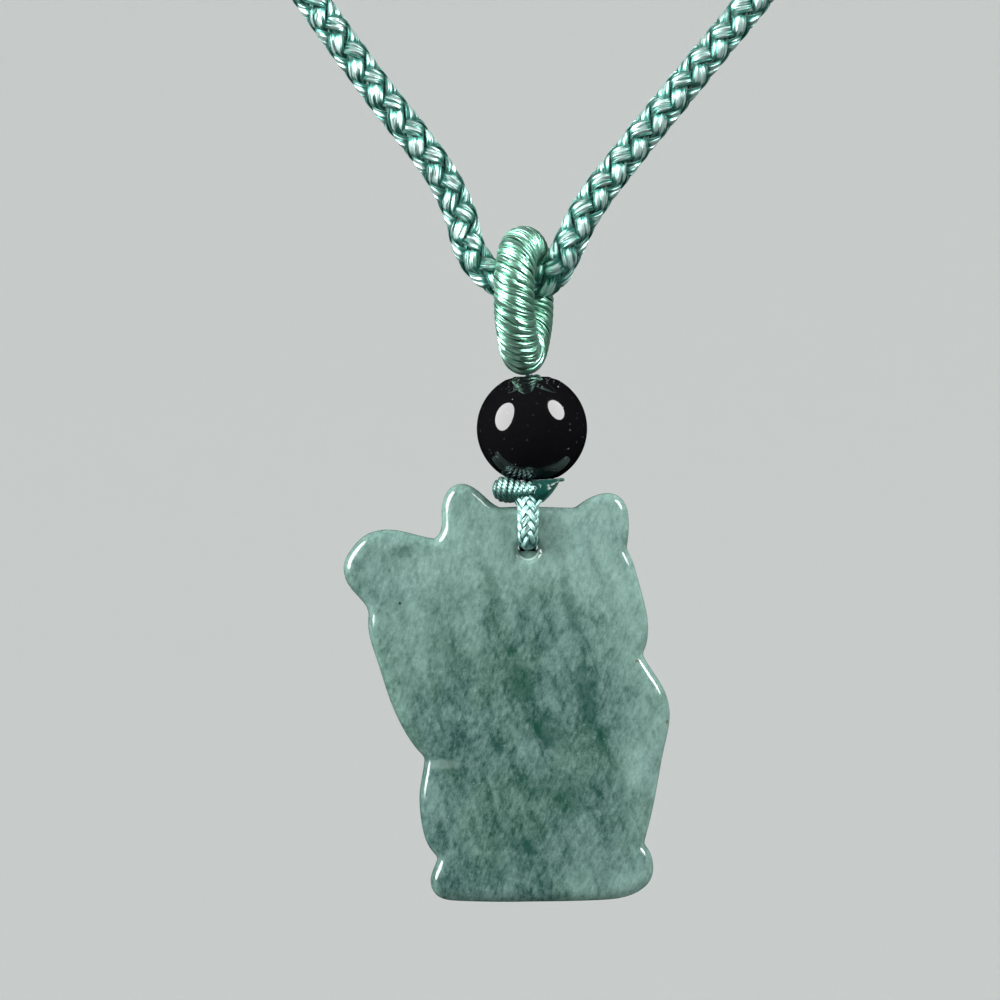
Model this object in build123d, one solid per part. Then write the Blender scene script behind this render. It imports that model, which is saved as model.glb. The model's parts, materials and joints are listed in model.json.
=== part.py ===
from build123d import *
import math
import os

# A lucky cat pendant of jade on a braided cord necklace, hung as it is worn and seen from the cat's plain back.
# Lengths are in millimetres and angles in degrees. +Z is up, -Y is where the plain back of the jade faces.
# The origin is where the necklace lies on the nape, at the inner side of the sleeve that closes the loop.

# Necklace cord, a round braid of silk
cord_diameter = 2.5

# Sleeve that joins the cord's two ends at the nape
sleeve_length = 16.0
sleeve_wall = 0.75
sleeve_edge_round = 0.4
sleeve_clearance = 0.1

# Oval loop wound with thread, in which the necklace cord lies
loop_strand = 3.05
loop_height = 11.1
loop_span = 6.0

# Small gaps that keep the pieces apart
seat_gap = 0.15
bead_gap = 0.1
knot_gap = 0.25
hanger_gap = 0.1

# Round bead and the thread that runs through it
bead_diameter = 8.2
bead_length = 7.7
bead_bore = 1.6
bead_bore_round = 0.2
bead_shift = 0.3
thread_diameter = 1.3

# Knot under the bead, flat between the bead and the jade
knot_height = 1.65
knot_depth = 5.4
knot_width = 4.6
turn_round_share = 0.42
tail_diameter = 0.9
tail_reach = 2.6

# Thin braided cord over both faces of the jade and through its hole
hanger_diameter = 1.5
hanger_clearance = 0.12
hanger_bend = 0.9
front_lean = 0.42
far_lean = 0.5
hanger_lean_drop = 0.8
hanger_lean_bend = 2.0

# Jade plate in the outline of a sitting cat with one paw raised
jade_width = 24.15
jade_height = 30.97
plate_thickness = 3.0
plate_front = 1.5
front_rim_round = 0.85
far_rim_round = 0.8
notch_round = 0.35
hole_diameter = 1.74
hole_drop = 3.07
hole_rim_bevel = 0.12
relief_height = 1.1
relief_edge_share = 0.4
relief_root = 1.0

# Route of the necklace cord, from its left end in the sleeve, down round the neck, through the loop and
# back up to its right end. The two middle points lie in the loop.
CORD_ROUTE = [
    (-0.1, 2.1, 0.0),
    (-15.0, 2.1, 0.0),
    (-36.0, -1.5, -3.5),
    (-54.5, -13.5, -13.0),
    (-66.5, -32.5, -32.0),
    (-70.0, -55.0, -59.0),
    (-67.5, -78.0, -91.0),
    (-59.0, -95.0, -120.0),
    (-38.5, -106.5, -147.3),
    (-19.5, -113.5, -172.8),
    (-11.6, -115.3, -184.05),
    (-6.9, -115.3, -189.8),
    (-5.0, -115.0, -193.4),
    (-4.4, -115.0, -196.6),
    (-2.1, -115.55, -199.0),
    (1.5, -116.45, -199.0),
    (3.1, -116.85, -196.0),
    (4.3, -116.8, -193.3),
    (7.3, -116.2, -189.4),
    (11.3, -115.4, -184.45),
    (20.3, -113.5, -173.4),
    (39.0, -106.5, -147.3),
    (59.0, -95.0, -120.0),
    (67.5, -78.0, -91.0),
    (70.0, -55.0, -59.0),
    (66.5, -32.5, -32.0),
    (54.5, -13.5, -13.0),
    (36.0, -1.5, -3.5),
    (15.0, 2.1, 0.0),
    (0.1, 2.1, 0.0),
]
ARC_SHARE = 0.45

# Turns of the knot, from left to right: place across and thickness as shares of the knot's width, then the share
# of its depth
KNOT_TURNS = [
    # (across, thick, deep)
    (-0.34, 0.36, 0.82),
    (0.00, 0.44, 1.00),
    (0.32, 0.40, 0.90),
]

# Outline of the cat, seen from its plain back: for each rounded stretch, from one notch to the next, the points
# it passes through, as shares of the jade's width (from the hole, to the right) and height (up from the crown).
OUTLINE = {
    "left ear": [
        (-0.086, 0.000), (-0.113, 0.012), (-0.141, 0.032), (-0.172, 0.050), (-0.205, 0.057),
        (-0.237, 0.047), (-0.257, 0.024), (-0.265, -0.005), (-0.264, -0.038), (-0.285, -0.075),
    ],
    "raised paw": [
        (-0.285, -0.075), (-0.365, -0.061), (-0.438, -0.053), (-0.496, -0.065), (-0.542, -0.100),
        (-0.565, -0.139), (-0.555, -0.179), (-0.521, -0.213), (-0.493, -0.241), (-0.489, -0.260),
    ],
    "raised arm": [
        (-0.489, -0.260), (-0.490, -0.287), (-0.466, -0.358), (-0.420, -0.467), (-0.380, -0.533),
        (-0.346, -0.573), (-0.317, -0.597),
    ],
    "left haunch": [
        (-0.317, -0.597), (-0.322, -0.631), (-0.332, -0.679), (-0.328, -0.746), (-0.309, -0.803),
        (-0.276, -0.836),
    ],
    "feet": [
        (-0.276, -0.836), (-0.288, -0.863), (-0.299, -0.891), (-0.282, -0.926), (-0.214, -0.941),
        (0.006, -0.943), (0.221, -0.939), (0.322, -0.925), (0.377, -0.889), (0.383, -0.846), (0.355, -0.805),
    ],
    "right side": [
        (0.355, -0.805), (0.369, -0.765), (0.389, -0.697), (0.417, -0.578), (0.435, -0.492),
        (0.417, -0.435), (0.380, -0.389), (0.351, -0.351),
    ],
    "right cheek": [
        (0.351, -0.351), (0.368, -0.306), (0.365, -0.256), (0.343, -0.186), (0.322, -0.131), (0.302, -0.099),
    ],
    "right ear": [
        (0.302, -0.099), (0.309, -0.060), (0.309, -0.028), (0.302, 0.002), (0.283, 0.024), (0.256, 0.034),
        (0.225, 0.033), (0.190, 0.023), (0.162, 0.010), (0.144, -0.001),
    ],
    "crown": [
        (0.144, -0.001), (0.098, 0.000), (-0.009, 0.002), (-0.086, 0.000),
    ],
}

# Raised forms of the far side: how far each one's centre is across from the hole and down from the crown, its half
# width and half height, all as shares of the jade's width and height, its share of the relief's height and its lean.
RELIEF = {
    # form: (across, down, half_width, half_height, raised, lean)
    "body": (0.030, 0.610, 0.330, 0.240, 0.55, 0),
    "raised arm": (-0.385, 0.350, 0.070, 0.190, 0.65, 14),
    "raised paw": (-0.425, 0.150, 0.105, 0.068, 0.90, 0),
    "right arm": (0.285, 0.530, 0.075, 0.120, 0.85, 18),
    "left foot": (-0.115, 0.862, 0.130, 0.055, 0.95, 0),
    "right foot": (0.195, 0.862, 0.130, 0.055, 0.95, 0),
    "head": (0.050, 0.205, 0.240, 0.160, 0.80, 0),
    "left ear": (-0.200, 0.020, 0.040, 0.050, 0.40, 0),
    "right ear": (0.248, 0.030, 0.036, 0.045, 0.40, 0),
}


# The pendant swings about the cord's own line where it lies in the loop: between the route's two middle points
loop_run = CORD_ROUTE[len(CORD_ROUTE) // 2 - 1 : len(CORD_ROUTE) // 2 + 1]
swing_x, swing_y, swing_z = [(low + high) / 2 for low, high in zip(*loop_run)]
loop_turn = math.degrees(math.atan2(loop_run[1][1] - loop_run[0][1], loop_run[1][0] - loop_run[0][0]))

# Heights down the pendant, from the necklace cord to the hole in the jade
loop_top = swing_z + cord_diameter / 2 + seat_gap + loop_strand
loop_bottom = loop_top - loop_height
bead_top = loop_bottom - bead_gap
bead_bottom = bead_top - bead_length
knot_top = bead_bottom - bead_gap
knot_bottom = knot_top - knot_height
crown_z = knot_bottom - knot_gap
hole_z = crown_z - hole_drop

# Depths through the jade, from its plain back to the flat ground of its far side
front_face = swing_y - plate_front
far_face = front_face + plate_thickness


def route_radii(points):
    """Bend radius at each inner point of a route: as large as its two runs leave room for."""
    radii = []
    for before, corner, after in zip(points, points[1:], points[2:]):
        into = Vector(corner) - Vector(before)
        out = Vector(after) - Vector(corner)
        turn = math.radians(into.get_angle(out))
        radii.append(ARC_SHARE * min(into.length, out.length) / math.tan(turn / 2))
    return radii


def tube(path, diameter):
    """A round solid of one diameter along a path."""
    section = Plane(path @ 0, z_dir=path % 0) * Circle(diameter / 2)
    return sweep(section, path=path)


def make_necklace_cord():
    radii = route_radii(CORD_ROUTE)
    path = FilletPolyline(*CORD_ROUTE, radius=radii)
    cord = tube(path, cord_diameter)
    plain_volume = math.pi * cord_diameter**2 / 4 * path.length
    print("necklace cord: length", round(path.length, 1), "volume ratio", round(cord.volume / plain_volume, 4))
    print("bend radii", [round(r, 1) for r in radii])
    return cord


def make_closing_sleeve():
    bore = cord_diameter + 2 * sleeve_clearance
    outer = bore + 2 * sleeve_wall
    sleeve = Cylinder(outer / 2, sleeve_length)
    sleeve = fillet(sleeve.edges().filter_by(GeomType.CIRCLE), sleeve_edge_round)
    sleeve -= Cylinder(bore / 2, sleeve_length)
    _, across, up = CORD_ROUTE[0]
    return Pos(0, across, up) * Rot(0, 90, 0) * sleeve


def make_wrapped_loop():
    oval = SlotOverall(loop_height - loop_strand, loop_span).wire()
    upright = Rot(0, 0, loop_turn) * Rot(0, 90, 0)
    return Pos(swing_x, swing_y, (loop_top + loop_bottom) / 2) * upright * tube(oval, loop_strand)


def make_black_bead():
    bead = Sphere(bead_diameter / 2) & Cylinder(bead_diameter, bead_length)
    bead -= Cylinder(bead_bore / 2, bead_diameter)
    mouths = bead.edges().filter_by(GeomType.CIRCLE).filter_by(lambda edge: edge.radius < bead_bore)
    bead = fillet(mouths, bead_bore_round)
    return Pos(bead_shift, swing_y, (bead_top + bead_bottom) / 2) * bead


def make_bead_thread():
    thread = Cylinder(thread_diameter / 2, bead_length)
    return Pos(bead_shift, swing_y, (bead_top + bead_bottom) / 2) * thread


def make_knot():
    """Three fat turns of cord side by side, squeezed flat, and the short end that stands out on the right."""
    middle = (knot_top + knot_bottom) / 2
    knot = Part()
    for across, thick_share, deep_share in KNOT_TURNS:
        thick = thick_share * knot_width
        outline = SlotOverall(deep_share * knot_depth, knot_height)
        turn = extrude(outline, amount=thick / 2, both=True)
        turn = fillet(turn.faces().filter_by(Axis.Z).edges(), turn_round_share * min(thick, knot_height))
        knot += Pos(across * knot_width, swing_y, middle) * Rot(0, 90, 0) * Rot(0, 0, 90) * turn
    tail_from = Vector(0, swing_y, middle)
    tail_to = Vector(tail_reach, swing_y, knot_top - tail_diameter / 2)
    return knot + tube(Line(tail_from, tail_to), tail_diameter)


def relief_dome(half_width, half_height, raised):
    """Radius of the ball that rounds off a raised form, so that its edge keeps a share of its height."""
    drop = (1 - relief_edge_share) * raised
    reach = max(half_width, half_height)
    return (reach**2 + drop**2) / (2 * drop)


def relief_form(half_width, half_height, raised):
    """A raised form on flat ground: an upright oval post with a gently domed top."""
    post = extrude(Ellipse(half_width, half_height), amount=relief_root + raised)
    post = Pos(0, 0, -relief_root) * post
    dome = relief_dome(half_width, half_height, raised)
    return post & (Pos(0, 0, raised - dome) * Sphere(dome))


def relief_at_hole():
    """How high the head's dome stands where the hole comes out."""
    across, down, half_width, half_height, raised, _ = RELIEF["head"]
    top = raised * relief_height
    dome = relief_dome(half_width * jade_width, half_height * jade_height, top)
    away = math.hypot(across * jade_width, down * jade_height - hole_drop)
    return top - dome + math.sqrt(dome**2 - away**2)


def make_hanging_cord():
    """A narrow loop: through the hole, up both faces of the jade and to the knot from below."""
    stand_off = hanger_diameter / 2 + hanger_clearance
    front = front_face - stand_off
    far = far_face + relief_at_hole() + stand_off
    lean_z = crown_z - hanger_lean_drop
    top = knot_bottom - hanger_gap
    route = [
        (0, front + front_lean, top),
        (0, front, lean_z),
        (0, front, hole_z),
        (0, far, hole_z),
        (0, far, lean_z),
        (0, far - far_lean, top),
    ]
    path = FilletPolyline(*route, radius=[hanger_lean_bend, hanger_bend, hanger_bend, hanger_lean_bend])
    return tube(path, hanger_diameter)


def jade_outline():
    """The cat's outline, flat, with the hole's axis at x = 0 and the crown at y = 0."""
    stretches = []
    for shares in OUTLINE.values():
        points = [(across * jade_width, up * jade_height) for across, up in shares]
        stretches.append(Spline(*points))
    return Face(Wire(stretches))


def make_jade_cat():
    """Drawn with its plain back on the ground and its far side up, then turned over and stood up."""
    plate = extrude(jade_outline(), amount=plate_thickness)
    plate = fillet(plate.edges().filter_by(Axis.Z), notch_round)
    plate = fillet(plate.faces().sort_by(Axis.Z)[0].edges(), front_rim_round)
    plate = fillet(plate.faces().sort_by(Axis.Z)[-1].edges(), far_rim_round)
    for across, down, half_width, half_height, raised, lean in RELIEF.values():
        form = relief_form(half_width * jade_width, half_height * jade_height, raised * relief_height)
        place = Pos(across * jade_width, -down * jade_height, plate_thickness) * Rot(0, 0, lean)
        plate += place * form
    hole = Pos(0, -hole_drop, 0) * Cylinder(hole_diameter / 2, 4 * plate_thickness)
    plate -= hole
    mouth = Cone(hole_diameter / 2 + hole_rim_bevel, hole_diameter / 2, hole_rim_bevel)
    plate -= Pos(0, -hole_drop, hole_rim_bevel / 2) * mouth
    return Pos(0, front_face, crown_z) * Rot(90, 0, 0) * mirror(plate, about=Plane.XY)


def main():
    os.makedirs("parts", exist_ok=True)
    makers = [
        make_necklace_cord, make_closing_sleeve, make_wrapped_loop, make_black_bead, make_bead_thread,
        make_knot, make_hanging_cord, make_jade_cat,
    ]
    for maker in makers:
        node = maker.__name__.removeprefix("make_")
        solid = maker()
        export_step(solid, f"parts/{node}.step")
        print(node, round(solid.volume, 2))


main()
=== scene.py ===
"""Looks of a lucky cat pendant: silk braid, wound loop, black bead, tied knot and carved jade, made round
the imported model. Sizes are in metres, written as millimetres times MM. +Z is up, and the jade's plain back
faces -Y."""

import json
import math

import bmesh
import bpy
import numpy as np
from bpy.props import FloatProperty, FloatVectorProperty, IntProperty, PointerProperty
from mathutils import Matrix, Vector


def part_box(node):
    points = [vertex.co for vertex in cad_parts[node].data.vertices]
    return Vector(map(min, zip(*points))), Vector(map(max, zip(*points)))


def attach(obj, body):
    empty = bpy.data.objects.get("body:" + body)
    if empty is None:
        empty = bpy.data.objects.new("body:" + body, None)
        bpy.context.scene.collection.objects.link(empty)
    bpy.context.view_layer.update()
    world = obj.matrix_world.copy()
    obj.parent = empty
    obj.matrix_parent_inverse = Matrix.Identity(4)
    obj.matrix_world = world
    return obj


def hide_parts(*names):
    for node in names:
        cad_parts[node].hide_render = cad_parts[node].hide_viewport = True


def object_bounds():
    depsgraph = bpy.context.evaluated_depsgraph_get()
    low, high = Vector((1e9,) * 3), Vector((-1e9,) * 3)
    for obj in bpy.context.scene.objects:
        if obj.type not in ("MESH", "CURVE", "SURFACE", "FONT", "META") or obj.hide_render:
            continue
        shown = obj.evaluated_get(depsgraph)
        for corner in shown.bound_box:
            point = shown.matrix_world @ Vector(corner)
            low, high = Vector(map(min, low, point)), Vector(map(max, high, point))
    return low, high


bl_info = {
    "name": "Lucky cat pendant",
    "version": (1, 0, 0),
    "blender": (4, 5, 0),
    "location": "3D View > Sidebar > Pendant",
    "description": "Dresses the packed pendant in silk, stone and jade and sets up its studio",
    "category": "Object",
}

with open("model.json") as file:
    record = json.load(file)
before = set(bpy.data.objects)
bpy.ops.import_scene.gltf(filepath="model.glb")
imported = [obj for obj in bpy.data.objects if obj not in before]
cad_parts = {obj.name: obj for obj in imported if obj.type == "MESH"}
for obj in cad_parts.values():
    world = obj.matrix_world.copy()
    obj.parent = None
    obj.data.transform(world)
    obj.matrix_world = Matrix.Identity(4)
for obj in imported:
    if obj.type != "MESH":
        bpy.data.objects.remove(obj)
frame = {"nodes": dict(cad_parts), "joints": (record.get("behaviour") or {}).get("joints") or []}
cad_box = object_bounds()

MM = 0.001
TURN = 2 * math.pi


def srgb(red, green, blue):
    """A linear colour from the usual 0 to 255 values."""
    channels = (red / 255, green / 255, blue / 255)
    return tuple(c / 12.92 if c <= 0.04045 else ((c + 0.055) / 1.055) ** 2.4 for c in channels)


# Route of the necklace cord in millimetres, from its left end in the sleeve, down round the neck, through
# the loop and back up to its right end
CORD_ROUTE = [
    (-0.1, 2.1, 0.0),
    (-15.0, 2.1, 0.0),
    (-36.0, -1.5, -3.5),
    (-54.5, -13.5, -13.0),
    (-66.5, -32.5, -32.0),
    (-70.0, -55.0, -59.0),
    (-67.5, -78.0, -91.0),
    (-59.0, -95.0, -120.0),
    (-38.5, -106.5, -147.3),
    (-19.5, -113.5, -172.8),
    (-11.6, -115.3, -184.05),
    (-6.9, -115.3, -189.8),
    (-5.0, -115.0, -193.4),
    (-4.4, -115.0, -196.6),
    (-2.1, -115.55, -199.0),
    (1.5, -116.45, -199.0),
    (3.1, -116.85, -196.0),
    (4.3, -116.8, -193.3),
    (7.3, -116.2, -189.4),
    (11.3, -115.4, -184.45),
    (20.3, -113.5, -173.4),
    (39.0, -106.5, -147.3),
    (59.0, -95.0, -120.0),
    (67.5, -78.0, -91.0),
    (70.0, -55.0, -59.0),
    (66.5, -32.5, -32.0),
    (54.5, -13.5, -13.0),
    (36.0, -1.5, -3.5),
    (15.0, 2.1, 0.0),
    (0.1, 2.1, 0.0),
]

# Deep green veins in the jade, in millimetres from the hole's axis and down from the crown
VEINS = [
    # (across, down, half width, half length, lean in degrees, depth of colour)
    (-0.6, 13.2, 0.9, 2.6, -12, 0.62),
    (1.6, 16.6, 1.3, 1.6, -40, 0.66),
    (4.4, 14.6, 0.8, 3.4, -8, 0.60),
    (5.6, 16.8, 0.6, 1.2, 10, 0.45),
    (2.9, 20.6, 1.5, 2.2, -20, 0.42),
    (3.2, 7.6, 0.5, 3.2, -14, 0.34),
    (-2.6, 6.0, 0.5, 2.2, -20, 0.32),
    (-0.4, 8.2, 0.4, 2.6, 16, 0.26),
    (7.4, 2.2, 0.8, 0.7, 0, 0.40),
    (-9.2, 3.4, 0.9, 0.5, 0, 0.36),
    (-7.0, 2.6, 0.7, 1.2, 20, 0.26),
    (-6.6, 10.6, 1.6, 3.0, -10, 0.22),
    (-1.6, 26.0, 1.8, 2.6, 30, 0.24),
]

# Marks in the jade's near face, in the same millimetres; the pale smear is painted light
MARKS = [
    # (across, down, half width, half height, strength, colour)
    (-9.47, 7.08, 0.11, 0.11, 0.95, (14, 20, 18)),
    (8.07, 11.36, 0.17, 0.15, 0.75, (84, 62, 54)),
    (10.29, 15.85, 0.12, 0.15, 0.7, (92, 58, 50)),
    # A pale smear by the left notch, painted light: a far-side groove's end seen through the stone
    (-6.3, 19.0, 1.6, 0.4, 0.18, (176, 198, 188)),
]

# Height of the jade's crown, from which its veins, marks and carving are measured, and how far below it
# the hole's axis is, in millimetres
JADE_CROWN = -215.45
HOLE_DOWN = 3.07

# The jade's dark heart, from which the painted glow of its rim grows, in the same millimetres: its middle,
# below the plate's own, and how far it reaches
HEART_ACROSS = -0.5
HEART_DROP = 5.4
HEART_REACH = (10.5, 16.5)

# From front to back, where the marks of the near face fade out
NEAR_FACE = (-117.2, -116.4)

# Colours of small spots and edges, which go with the settings below; two of them are painted light
SEALED_TIP = srgb(96, 128, 108)
# Painted shade between the thin braid's strands
THIN_BRAID_PAINTED_SHADE = srgb(26, 98, 90)
DUST = srgb(170, 176, 172)
SPARK = srgb(138, 160, 150)
# A painted highlight on the edge of the jade's hole
PAINTED_HOLE_HIGHLIGHT = srgb(170, 192, 182)
AIR = srgb(236, 240, 242)
FLOOR_GRAIN = srgb(246, 246, 244)

# Raised forms of the far side, in millimetres from the hole's axis and down from the crown
MOUNDS = [
    # (across, down, half width, half height, lean in degrees, raised, depth of its border)
    (0.55, 8.5, 1.0, 0.75, 0, 0.34, 0.0),
    (1.85, 8.5, 1.0, 0.75, 0, 0.34, 0.0),
    (1.2, 7.6, 0.5, 0.34, 0, 0.34, 0.0),
    (1.2, 13.6, 1.35, 1.3, 0, 0.80, 0.0),
    (0.8, 19.9, 2.9, 4.1, -6, 0.60, 0.26),
    (4.9, 19.2, 1.7, 1.4, 24, 0.65, 0.0),
    (-5.6, 22.8, 1.9, 3.3, -8, 0.38, 0.0),
    (8.0, 22.4, 1.7, 3.8, 8, 0.38, 0.0),
    (-5.05, 0.35, 0.85, 1.25, 12, -0.32, 0.0),
    (6.0, 0.45, 0.80, 1.15, -14, -0.32, 0.0),
]

# Cuts of the far side: each runs from its start past a bend to its end, in the same millimetres
CUTS = [
    # (start, bend, end, width, depth)
    ((-2.5, 6.5), (-1.3, 5.0), (-0.1, 6.5), 0.19, 0.30),
    ((2.5, 6.5), (3.7, 5.0), (4.9, 6.5), 0.19, 0.30),
    ((1.2, 7.95), (1.2, 8.4), (1.2, 8.9), 0.15, 0.22),
    ((0.2, 9.0), (0.75, 9.75), (1.2, 8.95), 0.15, 0.24),
    ((1.2, 8.95), (1.65, 9.75), (2.2, 9.0), 0.15, 0.24),
    ((-0.9, 8.1), (-2.3, 7.7), (-3.7, 7.5), 0.13, 0.18),
    ((-0.9, 8.6), (-2.3, 8.6), (-3.8, 8.6), 0.13, 0.18),
    ((-0.9, 9.1), (-2.2, 9.4), (-3.5, 9.7), 0.13, 0.18),
    ((3.3, 8.1), (4.7, 7.7), (6.1, 7.5), 0.13, 0.18),
    ((3.3, 8.6), (4.7, 8.6), (6.2, 8.6), 0.13, 0.18),
    ((3.3, 9.1), (4.6, 9.4), (5.9, 9.7), 0.13, 0.18),
    ((-4.2, 10.6), (1.2, 14.0), (6.4, 10.6), 0.22, 0.34),
    ((-4.5, 11.5), (1.2, 15.0), (6.6, 11.5), 0.20, 0.30),
    ((0.1, 13.9), (1.2, 14.35), (2.3, 13.9), 0.15, 0.26),
    ((-11.7, 3.2), (-11.2, 4.2), (-11.3, 5.0), 0.18, 0.30),
    ((-10.3, 2.7), (-10.1, 3.8), (-10.3, 4.7), 0.18, 0.30),
    ((-7.6, 6.4), (-9.4, 6.9), (-11.0, 6.5), 0.20, 0.24),
    ((4.2, 18.9), (4.5, 19.7), (4.0, 20.4), 0.16, 0.26),
    ((5.2, 19.3), (5.3, 20.1), (4.8, 20.9), 0.16, 0.26),
    ((-4.1, 26.2), (-4.0, 27.0), (-4.1, 28.0), 0.18, 0.30),
    ((-2.2, 26.2), (-2.1, 27.0), (-2.1, 28.0), 0.18, 0.30),
    ((3.5, 26.2), (3.4, 27.0), (3.5, 28.0), 0.18, 0.30),
    ((5.5, 26.2), (5.5, 27.0), (5.6, 28.0), 0.18, 0.30),
    ((-3.9, 20.4), (-3.0, 23.6), (-3.9, 25.6), 0.22, 0.26),
    ((5.7, 21.8), (5.2, 24.0), (6.2, 25.6), 0.22, 0.26),
]


# Sizes and colours that a user would change

class CordLook(bpy.types.PropertyGroup):
    """The braided necklace cord and the sleeve that closes it"""

    diameter: FloatProperty(
        name="Diameter", description="Across the whole braid", default=2.5 * MM, unit="LENGTH", precision=4)
    pitch: FloatProperty(
        name="Pitch", description="Length in which a strand goes once round the cord", default=9.6 * MM,
        unit="LENGTH", precision=4)
    strand_width: FloatProperty(
        name="Strand width", description="Across one flattened strand", default=1.22 * MM, unit="LENGTH",
        precision=5)
    strand_thickness: FloatProperty(
        name="Strand thickness", description="Through one flattened strand", default=0.4 * MM, unit="LENGTH",
        precision=5)
    sleeve_thread: FloatProperty(
        name="Sleeve thread", description="Thread that is wound into the sleeve", default=0.42 * MM,
        unit="LENGTH", precision=5)
    colour: FloatVectorProperty(
        name="Colour", description="Silk of the necklace cord", default=srgb(102, 188, 173), subtype="COLOR")
    # The deep colour is painted shade between the strands, and the crowns' colour a painted highlight
    painted_shade_colour: FloatVectorProperty(
        name="Deep colour", description="Silk down between the strands", default=srgb(14, 74, 63),
        subtype="COLOR")
    painted_highlight_colour: FloatVectorProperty(
        name="Bright colour", description="Silk on the crowns", default=srgb(216, 250, 243), subtype="COLOR")


class LoopLook(bpy.types.PropertyGroup):
    """The wound loop that hangs on the necklace cord"""

    threads: IntProperty(
        name="Threads", description="Threads wound side by side", default=6, min=2)
    crossings: IntProperty(
        name="Crossings", description="Ridges along the outside of the whole oval", default=41, min=8)
    ridge: FloatProperty(
        name="Ridge", description="Thickness of the wound thread", default=0.44 * MM, unit="LENGTH",
        precision=5)
    colour: FloatVectorProperty(
        name="Colour", description="Silk of the winding", default=srgb(18, 122, 82), subtype="COLOR")
    # The deep colour is painted shade between the threads, and the crowns' colour a painted highlight
    painted_shade_colour: FloatVectorProperty(
        name="Deep colour", description="Silk down between the threads", default=srgb(3, 42, 27),
        subtype="COLOR")
    painted_highlight_colour: FloatVectorProperty(
        name="Bright colour", description="Silk on the crowns", default=srgb(186, 252, 225), subtype="COLOR")


class BeadLook(bpy.types.PropertyGroup):
    """The round bead"""

    bore: FloatProperty(
        name="Bore", description="Across the drilled hole", default=1.6 * MM, unit="LENGTH", precision=5)
    dish: FloatProperty(
        name="Dish", description="Across the ground ring at each mouth", default=2.7 * MM, unit="LENGTH",
        precision=5)
    colour: FloatVectorProperty(
        name="Colour", description="Black stone", default=(0.0035, 0.0035, 0.004), subtype="COLOR")


class HangerLook(bpy.types.PropertyGroup):
    """The thin braid that carries the jade, and its knot"""

    diameter: FloatProperty(
        name="Diameter", description="Across the thin braid", default=1.5 * MM, unit="LENGTH", precision=5)
    pitch: FloatProperty(
        name="Pitch", description="Length in which a strand goes once round the braid", default=5.4 * MM,
        unit="LENGTH", precision=5)
    lifted: FloatProperty(
        name="Lifted", description="How far above the hole's axis the braid lies in the hole",
        default=0.44 * MM, unit="LENGTH", precision=5)
    colour: FloatVectorProperty(
        name="Colour", description="Silk of the knot", default=srgb(50, 134, 124), subtype="COLOR")
    # The deep colour is painted shade down in the knot, and the crowns' colour a painted highlight, which
    # the thin braid's body takes too
    painted_shade_colour: FloatVectorProperty(
        name="Deep colour", description="Silk down in the knot", default=srgb(6, 58, 52), subtype="COLOR")
    painted_highlight_colour: FloatVectorProperty(
        name="Bright colour", description="Silk on the crowns", default=srgb(186, 234, 226), subtype="COLOR")
    sealed_colour: FloatVectorProperty(
        name="Sealed end", description="The short end, sealed with heat", default=srgb(16, 62, 44),
        subtype="COLOR")


class JadeLook(bpy.types.PropertyGroup):
    """The carved jade"""

    voxel: FloatProperty(
        name="Mesh size", description="Size of the carving's mesh", default=0.13 * MM, unit="LENGTH",
        precision=6)
    colour: FloatVectorProperty(
        name="Colour", description="Grey-green body of the stone", default=srgb(40, 70, 67),
        subtype="COLOR")
    green_colour: FloatVectorProperty(
        name="Green", description="Greener parts of the body", default=srgb(39, 72, 61), subtype="COLOR")
    cloud_colour: FloatVectorProperty(
        name="Clouds", description="Pale clouds and grains", default=srgb(137, 167, 158), subtype="COLOR")
    # The vein colour is also the painted shade inside the hole and in the far side's grooves
    vein_and_shade_colour: FloatVectorProperty(
        name="Veins", description="Deep green veins", default=srgb(26, 65, 53), subtype="COLOR")
    glow_depth: FloatProperty(
        name="Glow depth", description="How far light travels in the stone", default=1.4 * MM,
        unit="LENGTH", precision=5)


class StudioLook(bpy.types.PropertyGroup):
    """Floor, light and camera"""

    floor_drop: FloatProperty(
        name="Floor drop", description="From the jade's foot down to the floor", default=750 * MM,
        unit="LENGTH")
    floor_colour: FloatVectorProperty(
        name="Floor", description="Pale floor", default=srgb(238, 239, 236), subtype="COLOR")
    frame_width: FloatProperty(
        name="Frame width", description="What the camera takes in at the pendant", default=74 * MM,
        unit="LENGTH", precision=4)
    camera_distance: FloatProperty(
        name="Camera distance", description="From the lens to the pendant", default=0.45, unit="LENGTH")
    lamp_power: FloatProperty(
        name="Lamp power", description="Strength of the left soft box", default=2.4, unit="POWER")
    fill: FloatProperty(
        name="Fill", description="Strength of the light from all round", default=0.85)


# Shader maths in Python expressions

def math_node(operation, swapped=False):
    """A Python operator that adds a Math node. A swapped one has the shader value on its right."""

    def add_node(value, other):
        pair = (other, value) if swapped else (value, other)
        return value.paint.maths(operation, *pair)

    return add_node


class Sock:
    """A shader value: each operator adds the Math node that works it out."""

    def __init__(self, paint, socket):
        self.paint = paint
        self.socket = socket

    __add__ = math_node("ADD")
    __radd__ = math_node("ADD", swapped=True)
    __sub__ = math_node("SUBTRACT")
    __rsub__ = math_node("SUBTRACT", swapped=True)
    __mul__ = math_node("MULTIPLY")
    __rmul__ = math_node("MULTIPLY", swapped=True)
    __truediv__ = math_node("DIVIDE")
    __pow__ = math_node("POWER")


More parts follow.
